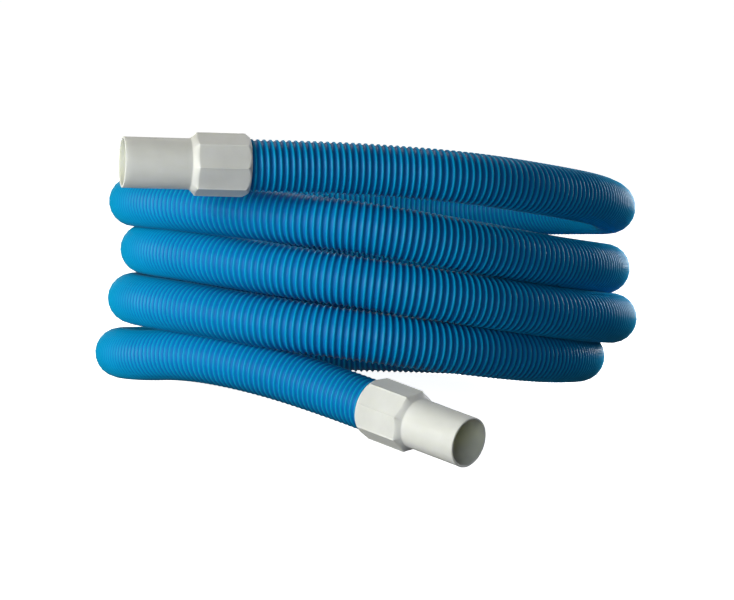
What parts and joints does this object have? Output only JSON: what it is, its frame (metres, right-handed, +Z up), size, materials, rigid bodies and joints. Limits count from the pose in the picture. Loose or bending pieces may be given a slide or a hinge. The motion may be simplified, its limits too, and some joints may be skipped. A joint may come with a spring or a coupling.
{
  "type": "pool vacuum hose",
  "caption": "Corrugated pool vacuum hose lying in a loose coil, with a free-turning swivel cuff on each end.",
  "frame": {"origin": "centre of the footprint on the surface that the hose lies on", "axes": "+Z up; +Y away from the lower cuff's side, along the longer side of the footprint; +X to the right as the coil is seen from the side of its two cuffs"},
  "size_m": [0.472, 0.578, 0.265],
  "materials": {
    "hose": "satin corrugated blue plastic",
    "cuff": "smooth moulded off-white plastic",
    "bushing": "moulded off-white plastic",
    "seal": "soft black rubber"
  },
  "bodies": {
    "hose": {"hose_coil": "hose", "hose_upper_run": "hose", "hose_lower_run": "hose", "upper_hose_end": "hose", "upper_cuff_bushing": "bushing", "lower_hose_end": "hose", "lower_cuff_bushing": "bushing"},
    "upper_cuff": {"upper_cuff_shell": "cuff", "upper_cuff_retaining_ring": "bushing", "upper_cuff_seal": "seal"},
    "lower_cuff": {"lower_cuff_shell": "cuff", "lower_cuff_retaining_ring": "bushing", "lower_cuff_seal": "seal"}
  },
  "joints": [
    {"name": "upper_cuff_swivel", "type": "hinge", "parent": "hose", "child": "upper_cuff", "pos_m": [-0.11758, -0.18645, 0.23771], "axis": [-0.9793, -0.1975, 0.0454], "continuous": true},
    {"name": "lower_cuff_swivel", "type": "hinge", "parent": "hose", "child": "lower_cuff", "pos_m": [0.02063, -0.21897, 0.03586], "axis": [0.7314, -0.6586, -0.1771], "continuous": true}
  ]
}
